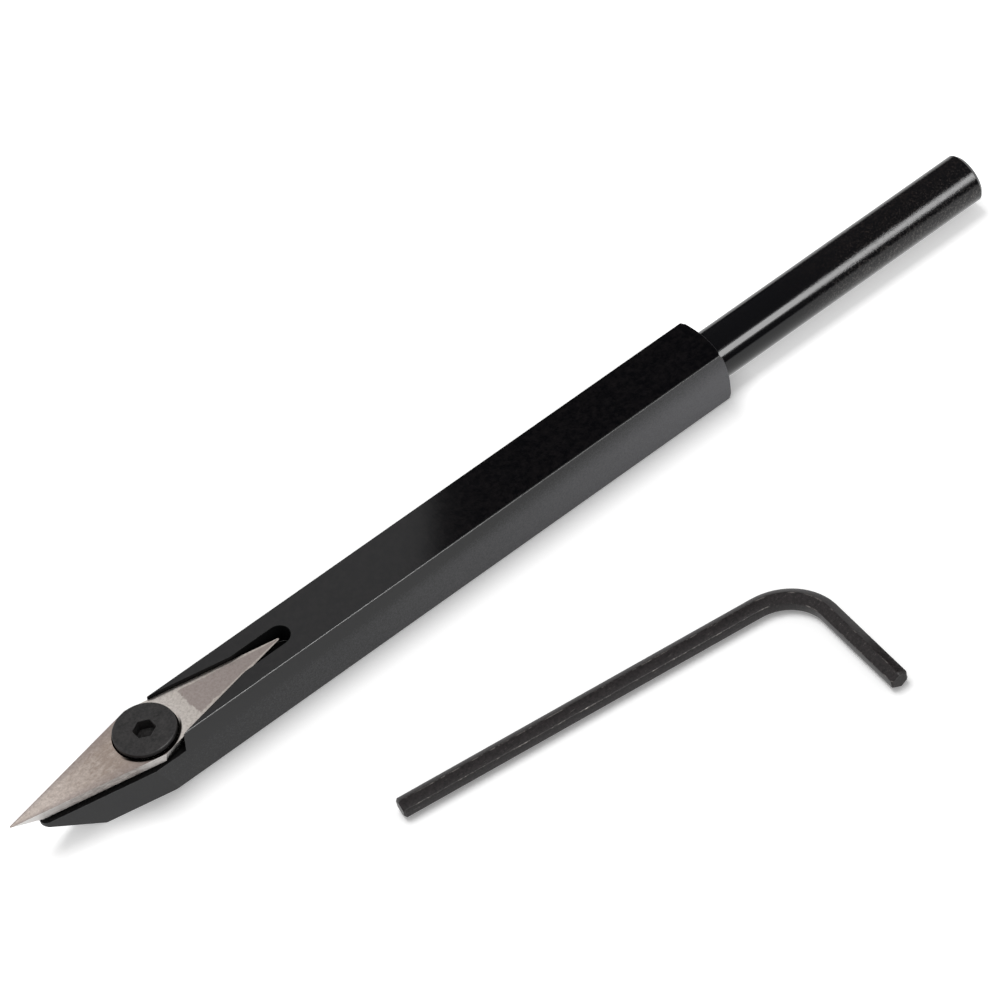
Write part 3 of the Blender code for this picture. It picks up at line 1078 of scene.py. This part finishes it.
@dataclass
class ClampScrew:
    """The countersunk socket screw, drawn from the top of its head."""

    facets: int = 72
    thread_radius: float = 2.5 * MM
    thread_crest: float = 0.1 * MM
    thread_root: float = 0.7 * MM
    thread_depth: float = 0.84 * MM
    core_radius: float = 2.08 * MM
    neck: float = 0.3 * MM
    rim_height: float = 0.6 * MM
    edge_chamfer: float = 0.15 * MM
    edge_round: float = 0.04 * MM
    socket_flats: float = 3.0 * MM
    socket_depth: float = 2.0 * MM
    socket_cone: float = 0.4 * MM
    mouth_chamfer: float = 0.12 * MM
    end_chamfer: float = 0.5 * MM

    def build(self) -> None:
        """Builds the head, core and thread, and hands them to the screw's body."""
        head = self.head()
        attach(head, "screw")
        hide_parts("clamp_screw")
        log.info("screw head: %d faces", len(head.data.polygons))
        thread = self.thread()
        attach(thread, "screw")
        log.info("screw thread: %d faces", len(thread.data.polygons))

    @property
    def length(self) -> float:
        """The screw's length, from the CAD node."""
        return SCREW_HIGH.z - SCREW_LOW.z

    @property
    def cone_end(self) -> float:
        """How far below the head's top its 90 degree cone ends."""
        return self.edge_chamfer + self.rim_height + HEAD_RADIUS - self.thread_radius

    def ring(self, z: float, radius: float = 0.0, flats: float = 0.0) -> list[Vector]:
        """Draws a circle about the screw's axis, or a hexagon with one corner across the bar.

        Args:
            z: the ring's height below the head's top.
            radius: the circle's radius.
            flats: the hexagon's width across its flats.

        Returns:
            As many points for the one as for the other.
        """
        side = math.tau / 6
        points = []
        for i in range(self.facets):
            angle = math.tau / self.facets * i
            off = (angle + side / 2) % side - side / 2
            reach = radius or flats / 2 / math.cos(off)
            points.append(Vector((reach * math.cos(angle), reach * math.sin(angle), z)))
        return points

    def head(self) -> Object:
        """Turns the head with its socket and the thread's core.

        Returns:
            The head and core in one piece.
        """
        rings = [
            self.ring(-self.length, self.core_radius - self.end_chamfer),
            self.ring(self.end_chamfer - self.length, self.core_radius),
            self.ring(-self.cone_end - self.neck, self.core_radius),
            self.ring(-self.cone_end, self.thread_radius),
            self.ring(-self.edge_chamfer - self.rim_height, HEAD_RADIUS),
            self.ring(-self.edge_chamfer, HEAD_RADIUS),
            self.ring(0.0, HEAD_RADIUS - self.edge_chamfer),
            self.ring(0.0, flats=self.socket_flats + 2 * self.mouth_chamfer),
            self.ring(-self.mouth_chamfer, flats=self.socket_flats),
            self.ring(-self.socket_depth, flats=self.socket_flats),
        ]
        bm = bmesh.new()
        rows = [[bm.verts.new(point + SCREW_TOP) for point in ring] for ring in rings]
        for low, high in zip(rows, rows[1:]):
            for i in range(self.facets):
                j = (i + 1) % self.facets
                bm.faces.new((low[i], low[j], high[j], high[i]))
        tips = (-self.length, -self.socket_depth - self.socket_cone)
        for row, z in zip((rows[0], rows[-1]), tips):
            tip = bm.verts.new(SCREW_TOP + Vector((0.0, 0.0, z)))
            for i in range(self.facets):
                bm.faces.new((row[i], row[(i + 1) % self.facets], tip))
        bmesh.ops.recalc_face_normals(bm, faces=bm.faces)
        round_edges(bm, self.edge_round, 0)
        return new_piece("screw_head", bm, ScrewBlackOxide())

    def thread(self) -> Object:
        """Winds the screw's thread from below the cone to the tip.

        Returns:
            The thread.
        """
        low = SCREW_TOP.z + self.end_chamfer / 2 - self.length
        ends = (low, low + self.length - self.cone_end - self.end_chamfer)
        section = (self.thread_root, self.thread_crest, self.thread_depth)
        finish = ScrewBlackOxide()
        return HelixThread().ridge("screw_thread", self.core_radius, ends, section, finish)


@dataclass
class HexKey:
    """The bent hexagon key that lies beside the tool."""

    flats: float = 2.75 * MM
    long_arm: float = 67.1 * MM
    short_arm: float = 25.2 * MM
    bend_radius: float = 8.0 * MM
    bend_degrees: float = 95.5
    end_chamfer: float = 0.3 * MM
    ridge_round: float = 0.22 * MM
    behind_screw: float = 85.5 * MM
    beside_bar: float = 40.9 * MM
    turn_degrees: float = -7.9
    sharp_degrees: float = 35.0

    def build(self) -> None:
        """Builds the key and hands it to its body."""
        corner_radius = self.flats / math.sqrt(3)
        path, bend_point = self.path()
        values = {
            "Corner Radius": corner_radius,
            "Ridge Round": self.ridge_round,
            "Bend Radius": self.bend_radius,
            "Bend Point": bend_point,
            "End Share": 1 - 2 * self.end_chamfer / self.flats,
            "Finish": KeyBlackOxide().material(),
        }
        piece = BentHexagon().make("key", path, values)
        place = Vector((SCREW_TOP.x + self.behind_screw, -self.beside_bar, corner_radius))
        turn = Matrix.Rotation(math.radians(self.turn_degrees), 4, "Z")
        piece.data.transform(Matrix.Translation(place) @ turn)
        piece.data.shade_smooth()
        piece.data.set_sharp_from_angle(angle=math.radians(self.sharp_degrees))
        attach(piece, "key")
        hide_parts("hex_key")
        log.info("key: %d faces", len(piece.data.polygons))

    def path(self) -> tuple[Mesh, int]:
        """Draws the key's middle line: its two ends, their chamfers and the arms' corner.

        Returns:
            The line as a mesh, and the number of the corner's point.
        """
        turn = math.radians(180.0 - self.bend_degrees)
        long_way = Vector((-1.0, 0.0, 0.0))
        short_way = Vector((math.cos(turn), -math.sin(turn), 0.0))
        long_end, short_end = self.long_arm - self.flats / 2, self.short_arm - self.flats / 2
        corner = Vector((0.0, 0.0, 0.0))
        points = [
            long_way * long_end,
            long_way * (long_end - self.end_chamfer),
            corner,
            short_way * (short_end - self.end_chamfer),
            short_way * short_end,
        ]
        mesh = bpy.data.meshes.new("key_path")
        mesh.from_pydata(points, [(i, i + 1) for i in range(len(points) - 1)], [])
        return mesh, points.index(corner)


class Rays(Enum):
    """Which rays see a lamp."""

    DIFFUSE = "diffuse"
    GLOSSY = "glossy"


@dataclass(frozen=True)
class Lamp:
    """A rectangular lamp that faces a point, with its luminance instead of its power."""

    name: str
    rays: Rays
    luminance: float
    size: Pair
    place: Triple
    target: Triple
    spared: tuple[str, ...] = ()

    def build(self) -> None:
        """Makes the lamp, and keeps its light off the pieces that are spared."""
        light = bpy.data.lights.new(self.name, "AREA")
        light.shape = "RECTANGLE"
        light.size, light.size_y = self.size
        light.energy = self.luminance * math.pi * light.size * light.size_y
        lamp = new_object(self.name, light)
        away = Vector(self.place) - Vector(self.target)
        turned = away.to_track_quat("Z", "Y").to_matrix().to_4x4()
        lamp.matrix_world = Matrix.Translation(self.place) @ turned
        lamp.visible_camera = False
        lamp.visible_diffuse = self.rays is Rays.DIFFUSE
        lamp.visible_glossy = self.rays is Rays.GLOSSY
        if self.spared:
            shaded = bpy.data.collections.new(f"{self.name}_spares")
            for name in self.spared:
                shaded.objects.link(bpy.data.objects[name])
            for item in shaded.collection_objects:
                item.light_linking.link_state = "EXCLUDE"
            lamp.light_linking.receiver_collection = shaded


@dataclass(frozen=True)
class WhiteSweep(Finish):
    """Matt white studio paper: pure white to the camera and in mirrors, with a soft shadow."""

    name: str = "studio_paper_white"
    roughness: float = 1.0
    white: str = "#ffffff"
    bounce: str = "#f4f4f4"
    bar_light: float = 0.16
    tang_light: float = 0.42
    tang_mm: Pair = (-2.0, 5.0)
    nose_light: float = 0.36
    nose_mm: Pair = (-4.0, -11.0)
    white_reach: Pair = (0.25, 0.8)

    def paint(self, add: AddNode, place: NodeSocket) -> Sockets:
        """Shows mirrors plain white and lightens the tool's shadow.

        Args:
            add: adds a node.
            place: the place on the piece.

        Returns:
            The shader's inputs.
        """
        path = add(RAY_KIND).node.outputs
        mirrors = {0: path["Is Glossy Ray"], 1: path["Is Transmission Ray"]}
        mirrored = add(MATH, mirrors, operation="MAXIMUM")
        # The tang and the nose stand clear of the paper, and the paper's own glow paints their shadows lighter
        # than the bar's
        along = add(SPLIT, {"Vector": place}, out="X")
        rearward = ramp(self.tang_mm, MM, SHOULDER_X, (self.bar_light, self.tang_light))
        forward = ramp(self.nose_mm, MM, SCREW_TOP.x, (self.bar_light, self.nose_light))
        tang = add(RANGE, {"Value": along, **rearward})
        nose = add(RANGE, {"Value": along, **forward})
        near = add(MATH, {0: tang, 1: nose}, operation="MAXIMUM")
        # Beyond the lamps' reach the paper is simply white
        away = add(VECTOR, {0: place}, out="Value", operation="LENGTH")
        share = add(RANGE, {"Value": away, **ramp(self.white_reach, to=(near, 1.0))})
        camera = path["Is Camera Ray"]
        glow = add(MATH, {0: camera, 1: share}, operation="MULTIPLY")
        paper = add(MIX, {FACTOR: camera, A: self.bounce, B: self.white}, **IN_COLOUR)
        nodes = place.id_data.nodes
        plain = add("ShaderNodeEmission", {"Color": self.white, "Strength": 1.0})
        shaded = nodes["Principled BSDF"].outputs["BSDF"]
        seen = add("ShaderNodeMixShader", {0: mirrored, 1: shaded, 2: plain})
        fill(nodes["Material Output"], {"Surface": seen})
        lit = {"Emission Color": self.white, "Emission Strength": glow}
        return {"Base Color": paper, "Specular IOR Level": 0.0, **lit}


@dataclass(frozen=True)
class BlackCard(Finish):
    """Black flock card of a studio flag: it gives nothing back."""

    name: str = "studio_flag_black"
    roughness: float = 1.0
    black: str = "#000000"

    def paint(self, add: AddNode, place: NodeSocket) -> Sockets:
        """Returns the shader's inputs: plain black without gloss."""
        return {"Base Color": self.black, "Specular IOR Level": 0.0}


@dataclass
class Studio:
    """White floor, a soft light behind and above, a strip light in front and two black flags."""

    softbox: Lamp = Lamp(
        "overhead_softbox",
        Rays.DIFFUSE,
        luminance=7.0,
        size=(0.6, 0.6),
        place=(0.0, 0.245, 1.17),
        target=(0.02, 0.0, 0.0),
    )
    # From behind, the ground carbide would mirror the strip too brightly, so the insert is spared
    strip: Lamp = Lamp(
        "front_strip",
        Rays.GLOSSY,
        luminance=9.6,
        size=(0.68, 0.42),
        place=(0.377, -0.883, 0.6),
        target=(-0.013, -0.033, 0.005),
        spared=("insert",),
    )
    floor_half: float = 4.0
    world_fill: float = 0.45
    world_white: str = "#ffffff"
    arch_steps: int = 60
    arch_radius: float = 0.9
    arch_degrees: Pair = (-2.0, 128.0)
    arch_edge_x: float = 0.2532
    arch_edge_angle: float = 0.8873
    arch_edge_slope: float = -0.655
    arch_edge_range: Pair = (0.10, 0.30)
    arch_end_x: float = 0.62
    screen_y: float = -0.05
    screen_height: float = 0.0225
    screen_range: Pair = (0.055, 0.19)

    def build(self) -> None:
        """Builds the floor, the flags, the world and the lamps."""
        self.floor()
        self.flag("arched_flag", self.arch_rows())
        self.flag("front_flag", self.screen_rows())
        self.world()
        for lamp in (self.softbox, self.strip):
            lamp.build()

    def floor(self) -> None:
        """Makes the white floor."""
        bm = bmesh.new()
        bmesh.ops.create_grid(bm, x_segments=1, y_segments=1, size=self.floor_half)
        floor = new_piece("floor", bm, WhiteSweep())

    def arch_rows(self) -> list[list[Vector]]:
        """Bends the arched flag over the bar's rear half, with a front edge that slants.

        Returns:
            Its edges from one foot to the other, two points each.
        """
        low, high = self.arch_degrees
        rows = []
        for i in range(self.arch_steps + 1):
            angle = math.radians(low + (high - low) * i / self.arch_steps)
            edge = self.arch_edge_x + self.arch_edge_slope * (angle - self.arch_edge_angle)
            near = min(max(edge, self.arch_edge_range[0]), self.arch_edge_range[1])
            y, z = self.arch_radius * math.cos(angle), self.arch_radius * math.sin(angle)
            rows.append([Vector((x, y, z)) for x in (near, self.arch_end_x)])
        return rows

    def screen_rows(self) -> list[list[Vector]]:
        """Returns the edges of the low flag in front, below the strip light."""
        heights = (0.0, self.screen_height)
        return [[Vector((x, self.screen_y, z)) for x in self.screen_range] for z in heights]

    def flag(self, name: str, rows: list[list[Vector]]) -> None:
        """Makes a black card that only mirrors see.

        Args:
            name: the card's name.
            rows: its lower to upper edges, two points each.
        """
        bm = bmesh.new()
        edges = [[bm.verts.new(point) for point in row] for row in rows]
        for low, high in zip(edges, edges[1:]):
            bm.faces.new((low[0], low[1], high[1], high[0]))
        flag = new_piece(name, bm, BlackCard())
        flag.visible_camera = flag.visible_diffuse = False
        flag.visible_shadow = flag.visible_transmission = False

    def world(self) -> None:
        """Makes the world: soft fill for matt surfaces, plain white for camera and mirrors."""
        world = bpy.data.worlds.new("studio")
        bpy.context.scene.world = world
        world.use_nodes = True
        add = partial(add_node, world.node_tree)
        path = add(RAY_KIND).node.outputs
        seen = add(MATH, {0: path["Is Camera Ray"], 1: path["Is Glossy Ray"]}, operation="MAXIMUM")
        plain = add(MATH, {0: seen, 1: path["Is Transmission Ray"]}, operation="MAXIMUM")
        strength = add(RANGE, {"Value": plain, **ramp(to=(self.world_fill, 1.0))})
        background = world.node_tree.nodes["Background"]
        fill(background, {"Color": self.world_white, "Strength": strength})


@dataclass
class PhotoCamera:
    """The camera at the photograph's viewing angle, as fitted to the bar's edges."""

    azimuth_degrees: float = -24.347
    elevation_degrees: float = 48.053
    roll_degrees: float = -16.541
    target: Triple = (0.023752, 0.004660, 0.0)
    distance: float = 0.77663
    focal_mm: float = 190.9
    sensor_mm: float = 36.0
    clip_start: float = 0.01

    def build(self) -> None:
        """Makes the camera and hands it to the scene."""
        angles = (self.azimuth_degrees, self.elevation_degrees, self.roll_degrees)
        azimuth, elevation, roll = (math.radians(angle) for angle in angles)
        flat = math.cos(elevation)
        back = Vector((math.sin(azimuth) * flat, -math.cos(azimuth) * flat, math.sin(elevation)))
        level = Vector((math.cos(azimuth), math.sin(azimuth), 0.0))
        rise = back.cross(level)
        right = math.cos(roll) * level + math.sin(roll) * rise
        up = back.cross(right)
        lens = bpy.data.cameras.new("photo_camera")
        lens.lens = self.focal_mm
        lens.sensor_width = self.sensor_mm
        lens.clip_start = self.clip_start
        camera = new_object("photo_camera", lens)
        turned = Matrix((right, up, back)).transposed().to_4x4()
        place = Vector(self.target) + self.distance * back
        camera.matrix_world = Matrix.Translation(place) @ turned
        bpy.context.scene.camera = camera


def main() -> None:
    """Builds the camera, the tool's sub-assemblies and the studio in order."""
    logging.basicConfig(level=logging.INFO, format="%(name)s: %(message)s")
    bpy.context.scene.view_settings.view_transform = "Standard"
    PhotoCamera().build()
    for assembly in (Shank(), Insert(), ClampScrew(), HexKey()):
        assembly.build()
    Studio().build()


if __name__ == "__main__":
    main()
